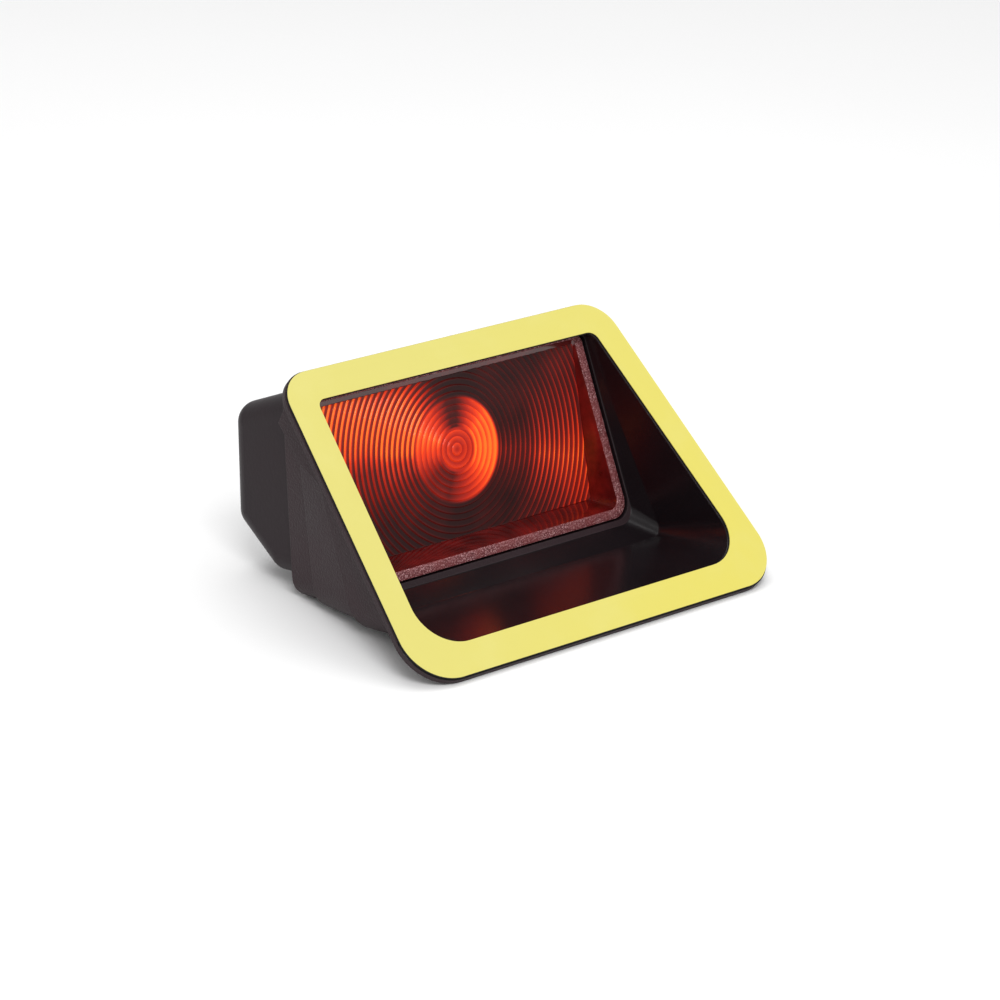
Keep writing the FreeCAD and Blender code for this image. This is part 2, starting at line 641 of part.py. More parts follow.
def make_holder():
    """Quarter-turn holder: disc, barrel with wedge slot, three lugs and the plug shroud behind."""
    body = new_body("bulb_holder")
    seat = size["boss_back"] - 0.1
    disc_front = seat - size["holder_seal_thick"]
    disc_back = cell("disc_back", disc_front - size["disc_thick"])
    disc = facing(body, "disc_circle", disc_back)
    draw_circle(disc, "disc", 0, 0, "disc_radius")
    extrude(body, "Pad", "disc", disc, "disc_thick")
    barrel = facing(body, "barrel_circle", disc_back)
    draw_circle(barrel, "barrel", 0, 0, "barrel_radius")
    extrude(body, "Pad", "barrel", barrel, cell("barrel_long", size["barrel_front"] - size["disc_back"]))
    lug = facing(body, "lug_box", cell("lug_back", size["boss_back"] + size["boss_wall"] + size["lug_gap"]))
    reach = size["barrel_radius"] + size["lug_reach"]
    box_outline(lug, "lug", 0, reach - 2.5, size["lug_width"], 5.0)
    ring_of(body, extrude(body, "Pad", "lug", lug, "lug_thick"), lug, 3)
    shroud = facing(body, "shroud_box", disc_back)
    box_outline(shroud, "shroud", 0, 0, size["shroud_width"], size["shroud_height"])
    extrude(body, "Pad", "shroud", shroud, "shroud_long", False)
    mouth = facing(body, "shroud_mouth", disc_back)
    wall = 2 * size["shroud_wall"]
    box_outline(mouth, "shroud_mouth", 0, 0, size["shroud_width"] - wall, size["shroud_height"] - wall)
    extrude(body, "Pocket", "shroud_mouth_cut", mouth, "shroud_long", False)
    slot = facing(body, "slot_box", "barrel_front")
    box_outline(slot, "slot", 0, 0, size["wedge_width"] + 0.8, 2 * slot_half())
    slot_long = size["barrel_front"] - size["wedge_end"] + 0.3
    extrude(body, "Pocket", "slot", slot, cell("slot_long", slot_long), False)
    for sign in (-1, 1):
        name = "blade_way_%s" % ("low" if sign < 0 else "high")
        way = facing(body, name, "barrel_front")
        box_outline(way, name, 0, sign * blade_middle(), size["blade_width"], size["blade_thick"])
        extrude(body, "Pocket", name + "_cut", way, "barrel_long", False)
    return body


def slot_half():
    return leaf_inside() + size["leaf_thick"] + 0.2


def leaf_inside():
    """Height of a contact leaf above the holder axis: wedge, wire and a hair of clearance."""
    return size["wedge_thick"] / 2 + 2 * size["wire_radius"] + 0.1


def blade_middle():
    return leaf_inside() + size["blade_thick"] / 2


def make_holder_seal():
    body = new_body("holder_seal")
    inner = size["barrel_radius"]
    seat = size["boss_back"] - 0.1
    back = seat - size["holder_seal_thick"]
    outline = side_outline(body, "holder_seal_side", [(inner, back), (inner + 3.0, back), (inner + 3.0, seat),
                                                      (inner, seat)])
    spin(body, "Revolution", "holder_seal_ring", outline)
    return body


def make_contact(label, sign):
    """Leaf inside the wedge slot and, behind it, the flat blade in the shroud."""
    body = new_body(label)
    leaf = facing(body, label + "_leaf", cell("leaf_back", size["wedge_end"] - 0.3))
    inside = leaf_inside()
    box_outline(leaf, label + "_leaf", 0, sign * (inside + size["leaf_thick"] / 2), size["leaf_width"],
                size["leaf_thick"])
    extrude(body, "Pad", label + "_leaf_pad", leaf, cell("leaf_long", 7.2))
    blade = facing(body, label + "_blade", "blade_end")
    box_outline(blade, label + "_blade", 0, sign * blade_middle(), size["blade_width"], size["blade_thick"])
    extrude(body, "Pad", label + "_blade_pad", blade, cell("blade_long", size["leaf_back"] - size["blade_end"]))
    return body


# ---- bulb ----

def make_bulb_glass():
    """Hollow wedge-base envelope."""
    body = new_body("bulb_glass")
    radius, wall = size["bulb_radius"], size["bulb_wall"]
    tip = size["wedge_end"] + size["bulb_long"]
    neck = size["wedge_end"] + size["wedge_long"] + size["neck_rise"]
    outline = side_on(body, "glass_side")
    shoulder = tip - radius
    base = neck + 1.0
    draw_envelope(outline, "glass", neck, base, shoulder, radius)
    spin(body, "Revolution", "envelope", outline)
    wedge = facing(body, "wedge_box", "wedge_end")
    box_outline(wedge, "wedge", 0, 0, size["wedge_width"], size["wedge_thick"])
    extrude(body, "Pad", "wedge", wedge, cell("wedge_pad_long", neck - size["wedge_end"] + 0.6))
    hollow = side_on(body, "hollow_side")
    draw_envelope(hollow, "hollow", neck + size["glass_floor"], base + 2 * wall, shoulder, radius - wall)
    spin(body, "Groove", "hollow", hollow)
    return body


def draw_envelope(sketch, name, bottom, base, shoulder, radius):
    """Half outline of a round-ended tube lying along the sketch's own axis."""
    foot = radius * 0.8
    tip = shoulder + radius
    corners = [(-bottom, 0), (-bottom, foot), (-base, radius), (-shoulder, radius)]
    lines = []
    for (x, y), (x_next, y_next) in zip(corners, corners[1:]):
        lines.append(sketch.addGeometry(Part.LineSegment(Vector(x, y, 0), Vector(x_next, y_next, 0)), False))
    middle = Vector(-shoulder - radius * math.sin(math.pi / 4), radius * math.cos(math.pi / 4), 0)
    dome = sketch.addGeometry(Part.Arc(Vector(-tip, 0, 0), middle, Vector(-shoulder, radius, 0)), False)
    axis = sketch.addGeometry(Part.LineSegment(Vector(-tip, 0, 0), Vector(-bottom, 0, 0)), False)
    for first, second in zip(lines, lines[1:]):
        sketch.addConstraint(Sketcher.Constraint("Coincident", first, 2, second, 1))
    for index, (x, y) in enumerate(corners[:3]):
        pin_point(sketch, "%s_p%d" % (name, index), lines[index], 1, x, y)
    pin_point(sketch, name + "_shoulder", lines[-1], 2, -shoulder, radius)
    arc = sketch.Geometry[dome]
    tip_end = 1 if (arc.StartPoint - Vector(-tip, 0, 0)).Length < 1e-6 else 2
    sketch.addConstraint(Sketcher.Constraint("Coincident", dome, 3 - tip_end, lines[-1], 2))
    sketch.addConstraint(Sketcher.Constraint("Coincident", dome, tip_end, axis, 1))
    sketch.addConstraint(Sketcher.Constraint("Coincident", axis, 2, lines[0], 1))
    pin_point(sketch, name + "_centre", dome, 3, -shoulder, 0)
    sketch.addConstraint(Sketcher.Constraint("PointOnObject", axis, 1, -1))


def make_filament():
    """Slightly arched coil stood in for by one round bar, between the tops of the lead wires."""
    body = new_body("bulb_filament")
    half = size["filament_long"] / 2
    front = size["wedge_end"] + size["filament_up"]
    bow = 0.7
    path = attach(body, "filament_path", "XY_Plane")
    ends = (Vector(-half, -front, 0), Vector(half, -front, 0))
    path.addGeometry(Part.Arc(ends[0], Vector(0, -front - bow, 0), ends[1]), False)
    profile = attach(body, "filament_profile", "YZ_Plane")
    profile.AttachmentOffset = Placement(Vector(-front, 0, -half), Rotation())
    radius = size["filament_radius"]
    circle = profile.addGeometry(Part.Circle(Vector(0, 0, 0), Vector(0, 0, 1), radius), False)
    profile.addConstraint(Sketcher.Constraint("Coincident", circle, 3, -1, 1))
    measured(profile, Sketcher.Constraint("Radius", circle, radius), "filament_radius")
    pipe = body.newObject("PartDesign::AdditivePipe", "filament_coil")
    pipe.Profile = profile
    pipe.Spine = path
    return body


def make_lead_wires():
    """Two supports inside the glass and their ends folded along the wedge, as separate rods."""
    radius = size["wire_radius"]
    half = size["filament_long"] / 2
    inside_low = size["wedge_end"] + size["wedge_long"] + size["neck_rise"] + size["glass_floor"]
    long = size["wedge_end"] + size["filament_up"] - inside_low - size["filament_radius"]
    rods = []
    for sign in (-1, 1):
        rods.append(rod("support_%s" % side_word(sign), sign * half, 0, inside_low, long, radius))
        height = sign * (size["wedge_thick"] / 2 + radius)
        rods.append(rod("fold_%s" % side_word(sign), 0, height, size["wedge_end"] + 0.4, 6.0, radius))
    group = doc.addObject("Part::Compound", "bulb_lead_wires")
    group.Links = rods
    group.Label = "bulb_lead_wires"
    return group


def rod(name, across, up, front, long, radius):
    """Round bar from a point towards the front of the lamp."""
    bar = doc.addObject("Part::Cylinder", name)
    bar.Radius = radius
    bar.Height = long
    bind(bar, "Radius", cell(name + "_radius", radius))
    bind(bar, "Height", cell(name + "_long", long))
    bar.Placement = Placement(Vector(across, -front, up), Rotation(Vector(1, 0, 0), 90))
    return bar


# ---- fasteners and vent ----

def screw(name, across, up, front, towards_front, grip):
    """Pan-head screw: head outside the clamped face, shank beyond it."""
    shank_start = front if towards_front else front - grip
    shank = rod(name + "_shank", across, up, shank_start, grip, size["screw_radius"])
    head_start = front - size["head_high"] if towards_front else front
    head = rod(name + "_head", across, up, head_start, size["head_high"], size["head_radius"])
    deep, wide = size["slot_deep"], size["slot_wide"]
    slot_start = head_start if towards_front else head_start + size["head_high"] - deep
    slot = doc.addObject("Part::Box", name + "_slot")
    bind(slot, "Length", cell("slot_long_cut", 2 * size["head_radius"] + 0.4))
    bind(slot, "Width", "slot_deep")
    bind(slot, "Height", "slot_wide")
    corner = Vector(across - size["slot_long_cut"] / 2, -slot_start - deep, up - wide / 2)
    slot.Placement = Placement(corner, Rotation())
    whole = doc.addObject("Part::Fuse", name + "_whole")
    whole.Base = head
    whole.Tool = shank
    cut = doc.addObject("Part::Cut", name)
    cut.Base = whole
    cut.Tool = slot
    return cut


def make_reflector_screws():
    screws = []
    for across in (-size["post_side"], size["post_side"]):
        for up in (-size["post_up"], size["post_up"]):
            name = "reflector_screw_%s_%s" % (side_word(across), row_word(up))
            screws.append(screw(name, across, up, size["plate_front"], False, size["reflector_grip"]))
    return grouped("reflector_screws", screws)


def make_cover_screws():
    screws = []
    for side in (-1, 1):
        name = "cover_screw_%s" % side_word(side)
        screws.append(screw(name, side * size["screw_side"], size["screw_up"], size["ear_back"], True,
                            size["cover_grip"]))
    return grouped("cover_screws", screws)


def grouped(label, members):
    group = doc.addObject("Part::Compound", label)
    group.Links = members
    group.Label = label
    return group


def make_vent_plug():
    """Rubber breather: hollow stem through the cover and a cap outside."""
    across, seat = size["vent_side"], size["vent_seat"]
    hair = 0.02
    cap_back = seat - hair - size["vent_cap_thick"]
    bore_back = seat - size["vent_cap_thick"] / 2
    stem = rod("vent_stem_rod", across, 0, bore_back, stem_front() - bore_back, size["vent_stem"] - hair)
    cap = rod("vent_cap_rod", across, 0, cap_back, size["vent_cap_thick"], size["vent_cap"])
    bore = rod("vent_bore_rod", across, 0, bore_back, stem_front() + 1.0 - bore_back, size["vent_bore"])
    whole = doc.addObject("Part::Fuse", "vent_whole")
    whole.Base = stem
    whole.Tool = cap
    plug = doc.addObject("Part::Cut", "vent_plug")
    plug.Base = whole
    plug.Tool = bore
    plug.Label = "vent_plug"
    return plug


def stem_front():
    """Front end of the vent stem, a little way inside the back wall."""
    return size["back_face"] + 2 * size["cover_wall"]


def make_vent_membrane():
    disc = rod("vent_membrane", size["vent_side"], 0, stem_front(), 0.3, size["vent_stem"] - 0.2)
    disc.Label = "vent_membrane"
    return disc


# ---- assembly ----

def rest_lean():
    """How far the lamp leans back when its flange lip and the heel of the hood touch the table."""
    lip = on_flange(0.0, -size["flange_thick"])
    return math.degrees(math.atan2(joint_low[0] - lip[0], lip[1] - joint_low[1]))


def lay_down(pieces):
    """One placement for every piece: leaned back, lowest point on the table, middle of the depth at Y 0."""
    turn = Rotation(Vector(1, 0, 0), -size["lean"])
    upright = Part.makeCompound([piece.Shape.copy() for piece in pieces])
    upright.Placement = Placement(Vector(0, 0, 0), turn)
    box = upright.optimalBoundingBox(False)
    cell("rest_back", -(box.YMin + box.YMax) / 2)
    cell("rest_high", -box.ZMin)
    for piece in pieces:
        own = piece.Placement
        shift = Placement(Vector(0, size["rest_back"], size["rest_high"]), turn)
        piece.Placement = shift.multiply(own)


pieces = [
    make_hood(), make_tape(), make_film(), make_lens(), make_lens_seal(),
    make_rear_cover(), make_housing_seal(), make_reflector(), make_reflector_screws(), make_cover_screws(),
    make_holder(), make_holder_seal(), make_contact("contact_live", 1), make_contact("contact_earth", -1),
    make_bulb_glass(), make_filament(), make_lead_wires(),
    make_vent_plug(), make_vent_membrane(),
]
cell("lean", rest_lean())
doc.recompute()
lay_down(pieces)
doc.recompute()

for item in doc.Objects:
    if "Invalid" in item.State or "Error" in item.State:
        raise RuntimeError("%s does not compute: %s" % (item.Label, item.State))

os.makedirs("parts", exist_ok=True)
for piece in pieces:
    shape = piece.Shape
    if shape.isNull() or not shape.isValid():
        raise RuntimeError("%s has no valid shape" % piece.Label)
    shape.exportStep("parts/%s.step" % piece.Label)
    print(piece.Label, "solids", len(shape.Solids), "volume", round(shape.Volume, 1))
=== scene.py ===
import json
import math

import bmesh
import bpy
from mathutils import Matrix, Quaternion, Vector


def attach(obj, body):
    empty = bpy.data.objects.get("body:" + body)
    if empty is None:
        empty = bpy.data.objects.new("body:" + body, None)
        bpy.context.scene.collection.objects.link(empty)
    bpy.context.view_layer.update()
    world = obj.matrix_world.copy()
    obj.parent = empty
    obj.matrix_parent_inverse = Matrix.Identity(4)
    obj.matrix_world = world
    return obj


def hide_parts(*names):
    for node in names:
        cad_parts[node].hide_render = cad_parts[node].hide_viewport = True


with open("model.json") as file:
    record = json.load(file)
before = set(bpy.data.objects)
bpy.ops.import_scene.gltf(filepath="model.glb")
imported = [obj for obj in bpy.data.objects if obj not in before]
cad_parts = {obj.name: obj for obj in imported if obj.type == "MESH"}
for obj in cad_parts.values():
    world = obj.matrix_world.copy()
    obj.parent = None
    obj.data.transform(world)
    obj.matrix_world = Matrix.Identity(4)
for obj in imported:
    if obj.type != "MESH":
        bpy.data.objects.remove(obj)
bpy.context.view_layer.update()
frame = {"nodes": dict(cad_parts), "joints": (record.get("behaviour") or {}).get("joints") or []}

# ---- lamp axes, read from the holder's joint: it turns on the axis of the lens rings ----

MM = 0.001
turn_joint = next(joint for joint in frame["joints"] if joint["name"] == "holder_turn")
REAR = Vector(turn_joint["axis"]).normalized()
FRONT = -REAR
SIDE = Vector((1, 0, 0))
UP = SIDE.cross(REAR)
SEAT_TO_FACE = 39.4 * MM  # from the holder's seat, where the joint stands, to the ring face
CENTRE = Vector(turn_joint["pos_m"]) + FRONT * SEAT_TO_FACE
TO_LAMP = Matrix((SIDE, UP, FRONT)).to_4x4() @ Matrix.Translation(-CENTRE)


def lamp(across, up, front):
    """World point from lamp millimetres: to the side, up the lens face, out of its front."""
    return CENTRE + (SIDE * across + UP * up + FRONT * front) * MM


# ---- material helpers ----

def new_material(name):
    material = bpy.data.materials.new(name)
    material.use_nodes = True
    return material, material.node_tree, material.node_tree.nodes["Principled BSDF"]


def node(tree, kind, **settings):
    made = tree.nodes.new(kind)
    for key, value in settings.items():
        setattr(made, key, value)
    return made


def join(tree, source, target):
    tree.links.new(source, target)


def noise(tree, coordinates, scale, detail=4.0, rough=0.55):
    made = node(tree, "ShaderNodeTexNoise")
    made.inputs["Scale"].default_value = scale
    made.inputs["Detail"].default_value = detail
    made.inputs["Roughness"].default_value = rough
    join(tree, coordinates, made.inputs["Vector"])
    return made.outputs["Fac"]


def ramp(tree, factor, stops):
    """Colour ramp from (position, colour) stops in rising order."""
    made = node(tree, "ShaderNodeValToRGB")
    elements = made.color_ramp.elements
    elements[0].position, elements[0].color = stops[0][0], (*stops[0][1], 1)
    elements[1].position, elements[1].color = stops[-1][0], (*stops[-1][1], 1)
    for place, colour in stops[1:-1]:
        extra = elements.new(place)
        extra.color = (*colour, 1)
    join(tree, factor, made.inputs["Fac"])
    return made.outputs["Color"]


def span(tree, value, low, high, out_low, out_high, smooth=True):
    """Carry a value from one range to another, held at both ends."""
    made = node(tree, "ShaderNodeMapRange", clamp=True)
    if smooth:
        made.interpolation_type = "SMOOTHSTEP"
    for index, number in enumerate((low, high, out_low, out_high)):
        made.inputs[1 + index].default_value = number
    join(tree, value, made.inputs["Value"])
    return made.outputs["Result"]


def sums(tree, operation, first, second=None):
    """Math node; each term is a number or another node's output."""
    made = node(tree, "ShaderNodeMath", operation=operation)
    for index, term in enumerate((first, second)):
        if term is None:
            continue
        if isinstance(term, (int, float)):
            made.inputs[index].default_value = term
        else:
            join(tree, term, made.inputs[index])
    return made.outputs["Value"]


def blend_colour(tree, factor, first, second):
    made = node(tree, "ShaderNodeMix", data_type="RGBA")
    join(tree, factor, made.inputs["Factor"])
    for index, colour in ((6, first), (7, second)):
        if isinstance(colour, tuple):
            made.inputs[index].default_value = (*colour, 1)
        else:
            join(tree, colour, made.inputs[index])
    return made.outputs[2]


def blend_level(tree, factor, first, second):
    made = node(tree, "ShaderNodeMix", data_type="FLOAT")
    join(tree, factor, made.inputs["Factor"])
    for index, level in ((2, first), (3, second)):
        if isinstance(level, float):
            made.inputs[index].default_value = level
        else:
            join(tree, level, made.inputs[index])
    return made.outputs[0]


def bump(tree, shader, height, strength, distance, edge_round=None):
    """Bump a surface by millimetres; an edge round also softens the look of its sharp edges."""
    made = node(tree, "ShaderNodeBump")
    made.inputs["Strength"].default_value = strength
    made.inputs["Distance"].default_value = distance * MM
    join(tree, height, made.inputs["Height"])
    if edge_round:
        rounded = node(tree, "ShaderNodeBevel", samples=6)
        rounded.inputs["Radius"].default_value = edge_round * MM
        join(tree, rounded.outputs["Normal"], made.inputs["Normal"])
    join(tree, made.outputs["Normal"], shader.inputs["Normal"])


def object_point(tree):
    return node(tree, "ShaderNodeTexCoord").outputs["Object"]


# ---- materials ----

def plastic(name, colour, rough, grain_size, grain_height, shine=0.3, edge_round=None):
    """Moulded plastic: slight cloudiness, and a grain of a given pitch and height in millimetres."""
    material, tree, shader = new_material(name)
    point = object_point(tree)
    cloud = noise(tree, point, 35.0)
    light = tuple(channel * 1.5 for channel in colour)
    join(tree, ramp(tree, cloud, [(0.3, colour), (0.75, light)]), shader.inputs["Base Color"])
    grain = noise(tree, point, 1.0 / (grain_size * MM), 2.0)
    join(tree, span(tree, cloud, 0.3, 0.7, rough * 0.88, rough * 1.1), shader.inputs["Roughness"])
    bump(tree, shader, grain, 0.35, grain_height, edge_round)
    shader.inputs["Specular IOR Level"].default_value = shine
    return material


def film_material():
    """Yellow release film: smooth, a little clearer yellow to the lower right, with faint ripples."""
    material, tree, shader = new_material("yellow_release_film")
    point = object_point(tree)
    place = node(tree, "ShaderNodeSeparateXYZ")
    join(tree, point, place.inputs["Vector"])
    along = sums(tree, "SUBTRACT", place.outputs["X"], place.outputs["Z"])
    tint = ramp(tree, span(tree, along, -0.1, 0.05, 0.0, 1.0),
                [(0.0, (0.66, 0.60, 0.16)), (0.6, (0.68, 0.61, 0.135)), (1.0, (0.70, 0.62, 0.11))])
    mottle = noise(tree, point, 60.0, 3.0)
    join(tree, blend_colour(tree, span(tree, mottle, 0.45, 0.75, 0.0, 0.25), tint, (0.7, 0.65, 0.22)),
         shader.inputs["Base Color"])
    join(tree, span(tree, mottle, 0.3, 0.7, 0.28, 0.4), shader.inputs["Roughness"])
    bump(tree, shader, noise(tree, point, 22.0, 1.0), 0.2, 0.8)
    return material


def lamp_point(tree):
    """How far a point is to the side and up the lens face, in millimetres."""
    place = node(tree, "ShaderNodeMapping", vector_type="POINT")
    place.inputs["Rotation"].default_value = TO_LAMP.to_3x3().to_euler("XYZ")
    place.inputs["Location"].default_value = TO_LAMP.translation / MM
    place.inputs["Scale"].default_value = (1 / MM, 1 / MM, 1 / MM)
    join(tree, object_point(tree), place.inputs["Vector"])
    split = node(tree, "ShaderNodeSeparateXYZ")
    join(tree, place.outputs["Vector"], split.inputs["Vector"])
    return split.outputs["X"], split.outputs["Y"]


def around(tree, angle, levels):
    """Level read from (degrees, level) pairs by the direction about the ring centre."""
    turn = span(tree, angle, -math.pi, math.pi, 0.0, 1.0, smooth=False)
    stops = [((degrees + 180) / 360, (level, level, level)) for degrees, level in levels]
    return ramp(tree, turn, stops)


# Edges of the painted light on the rings by radius, and the painted light level in the hub.
HUB_EDGE = (5.6, 6.4)
DISC_EDGE = (14.2, 15.2)
OUTER_EDGE = (24.0, 31.0)
HUB_PAINTED_LIGHT = 0.62


def painted_ring_light(tree, radius, angle, phase):
    """Painted light on the rings, standing for the reflector's light seen through the lens: a disc round the
    centre, a left wedge and right arcs.
    """
    disc = around(tree, angle, [(-180, 0.66), (-150, 0.3), (-112, 0.22), (-85, 0.5), (-35, 0.9),
                                (-5, 1.0), (35, 0.9), (60, 0.6), (84, 0.14), (98, 0.16),
                                (125, 0.62), (150, 0.86), (180, 0.66)])
    middle = around(tree, angle, [(-180, 0.52), (-160, 0.22), (-100, 0.0), (-45, 0.04),
                                  (-10, 0.34), (12, 0.1), (80, 0.0), (108, 0.14),
                                  (132, 0.66), (155, 1.0), (170, 0.84), (180, 0.52)])
    outer = around(tree, angle, [(-180, 0.34), (-150, 0.1), (-95, 0.02), (-40, 0.2),
                                 (-14, 0.78), (4, 0.42), (34, 0.06), (105, 0.03),
                                 (134, 0.5), (155, 0.82), (172, 0.62), (180, 0.34)])
    in_hub = span(tree, radius, *HUB_EDGE, 1.0, 0.0)
    past_disc = span(tree, radius, *DISC_EDGE, 0.0, 1.0)
    far_out = span(tree, radius, *OUTER_EDGE, 0.0, 1.0)
    level = blend_level(tree, past_disc, disc, middle)
    level = blend_level(tree, far_out, level, outer)
    level = blend_level(tree, in_hub, level, HUB_PAINTED_LIGHT)
    shallow = span(tree, phase, 0.1, 0.7, 0.84, 1.04)
    deep = span(tree, phase, 0.4, 0.85, 0.4, 1.25)
    # Painted light: the level by direction, made brighter towards each ring's crest.
    painted_light = sums(tree, "MULTIPLY", level, blend_level(tree, past_disc, shallow, deep))
    # Painted highlight: a thin line of extra light near each ring's crest.
    painted_crest_highlight = span(tree, phase, 0.55, 0.95, 0.0, 0.09)
    cloud = span(tree, noise(tree, object_point(tree), 45.0, 3.0), 0.3, 0.7, -0.05, 0.05)
    return sums(tree, "ADD", sums(tree, "ADD", painted_light, painted_crest_highlight), cloud)


def ring_material():
    """Red ring face with painted light: maroon where no light is painted, then red and orange, with a weak
    painted glow.
    """
    material, tree, shader = new_material("red_lens_rings")
    across, up = lamp_point(tree)
    squares = [sums(tree, "MULTIPLY", reach, reach) for reach in (across, up)]
    radius = sums(tree, "SQRT", sums(tree, "ADD", *squares))
    angle = sums(tree, "ARCTAN2", up, across)
    phase = sums(tree, "FRACT", sums(tree, "DIVIDE", radius, RING_PITCH))
    # Colours from no painted light (dark) up to the most painted light (orange).
    dark, maroon, red = (0.016, 0.003, 0.003), (0.075, 0.005, 0.004), (0.36, 0.014, 0.006)
    bright, orange = (0.75, 0.045, 0.009), (0.95, 0.15, 0.015)
    colour = ramp(tree, painted_ring_light(tree, radius, angle, phase),
                  [(0.0, dark), (0.2, maroon), (0.5, red), (0.8, bright), (1.0, orange)])
    join(tree, colour, shader.inputs["Base Color"])
    # Painted glow: the unlit lens gives off its painted light.
    join(tree, colour, shader.inputs["Emission Color"])
    shader.inputs["Emission Strength"].default_value = 0.45
    shader.inputs["Roughness"].default_value = 0.3
    shader.inputs["Specular IOR Level"].default_value = 0.12
    shader.inputs["Coat Weight"].default_value = 0.06
    shader.inputs["Coat Roughness"].default_value = 0.05
    return material


def wall_material():
    """Glossy deep red tray walls, slightly clouded in colour."""
    material, tree, shader = new_material("red_lens_wall")
    cloud = noise(tree, object_point(tree), 120.0, 3.0)
    colour = ramp(tree, cloud, [(0.3, (0.05, 0.003, 0.003)), (0.7, (0.18, 0.008, 0.007))])
    join(tree, colour, shader.inputs["Base Color"])
    shader.inputs["Roughness"].default_value = 0.12
    shader.inputs["Coat Weight"].default_value = 0.5
    shader.inputs["Coat Roughness"].default_value = 0.05
    return material


def rim_material():
    """Granular frosted rim: pinkish grains over red; the pinkish grains are painted glints."""
    material, tree, shader = new_material("frosted_lens_rim")
    point = object_point(tree)
    grain = noise(tree, point, 2600.0, 3.0, 0.7)
    patch = noise(tree, point, 220.0, 2.0)
    # The pale speckle colour is a painted glint: light reflected off the grains.
    pit, skin, painted_glint = (0.07, 0.006, 0.008), (0.2, 0.035, 0.04), (0.75, 0.45, 0.46)
    speckle = ramp(tree, grain, [(0.38, pit), (0.52, skin), (0.66, painted_glint)])
    join(tree, blend_colour(tree, span(tree, patch, 0.35, 0.65, 0.0, 0.4), speckle, (0.22, 0.03, 0.03)),
         shader.inputs["Base Color"])
    shader.inputs["Roughness"].default_value = 0.45
    bump(tree, shader, grain, 0.8, 0.4)
    return material


def bright_metal(name, colour, rough):
    material, tree, shader = new_material(name)
    brushed = noise(tree, object_point(tree), 900.0, 2.0)
    deep = tuple(channel * 0.82 for channel in colour)
    join(tree, ramp(tree, brushed, [(0.3, deep), (0.7, colour)]), shader.inputs["Base Color"])
    join(tree, span(tree, brushed, 0.3, 0.7, rough * 0.8, rough * 1.3), shader.inputs["Roughness"])
    shader.inputs["Metallic"].default_value = 1.0
    return material


def clear_glass():
    material, tree, shader = new_material("bulb_clear_glass")
    cloud = noise(tree, object_point(tree), 80.0)
    tint = ramp(tree, cloud, [(0.3, (0.93, 0.96, 0.96)), (0.7, (1, 1, 1))])
    join(tree, tint, shader.inputs["Base Color"])
    shader.inputs["Transmission Weight"].default_value = 1.0
    shader.inputs["Roughness"].default_value = 0.02
    return material


def paint(node_name, material):
    mesh = frame["nodes"][node_name].data
    mesh.materials.clear()
    mesh.materials.append(material)


def paint_hood(outside, inside):
    """Grain on the outside; polished faces where the hood looks inwards at the lens axis."""
    paint("hood", outside)
    mesh = frame["nodes"]["hood"].data
    mesh.materials.append(inside)
    facing = 0.2
    for polygon in mesh.polygons:
        inward = CENTRE + FRONT * (FRONT.dot(polygon.center - CENTRE)) - polygon.center
        inward.normalize()
        polygon.material_index = 1 if polygon.normal.dot(inward) > facing else 0


# ---- lens, in lamp millimetres ----

RING_PITCH = 1.77
RING_HEIGHT = 0.26
RING_CREST = 0.82  # place of the crest within one pitch
RING_FLOOR = 0.06
BORDER_GAP = 0.1
FACE_HALF, FACE_LOW, FACE_HIGH = 45.3, -23.6, 20.5
LENS_LOW, LENS_HIGH = -28.3, 22.7
LENS_HALF_LOW, LENS_HALF_HIGH = 49.4, 48.4
LENS_BACK = -3.0
RIM_FRONT, RIM_SLOPE = 5.04, math.tan(math.radians(11.4))
RIM_WIDE, TOP_RIM_WIDE = 2.6, 1.0
OUTER_ROUND_LOW, OUTER_ROUND_HIGH = 5.0, 1.8
INNER_ROUND_LOW, INNER_ROUND_HIGH = 3.0, 1.2
FACE_ROUND_LOW, FACE_ROUND_HIGH = 1.6, 1.0
SHARP_EDGE = math.radians(40)


def rim_front(up):
    return RIM_FRONT - up * RIM_SLOPE


def rounded_loop(low, high, half_low, half_high, round_low, round_high, segments=10):
    """(across, up) points of a symmetric trapezoid with rounded corners, the same count for any sizes."""
    corners = [(half_low, low, round_low, -90), (half_high, high, round_high, 0),
               (-half_high, high, round_high, 90), (-half_low, low, round_low, 180)]
    points = []
    for across, up, radius, start in corners:
        centre_x = across - math.copysign(radius, across)
        centre_y = up + radius if up == low else up - radius
        for step in range(segments + 1):
            angle = math.radians(start + 90 * step / segments)
            points.append((centre_x + radius * math.cos(angle), centre_y + radius * math.sin(angle)))
    return points


def new_piece(name, made, materials, body):
    """Turn a finished bmesh into a named piece on a body, with its slot."""
    bmesh.ops.recalc_face_normals(made, faces=made.faces)
    mesh = bpy.data.meshes.new(name)
    made.to_mesh(mesh)
    made.free()
    mesh.set_sharp_from_angle(angle=SHARP_EDGE)
    piece = bpy.data.objects.new(name, mesh)
    bpy.context.scene.collection.objects.link(piece)
    for material in materials:
        mesh.materials.append(material)
    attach(piece, body)
    return piece


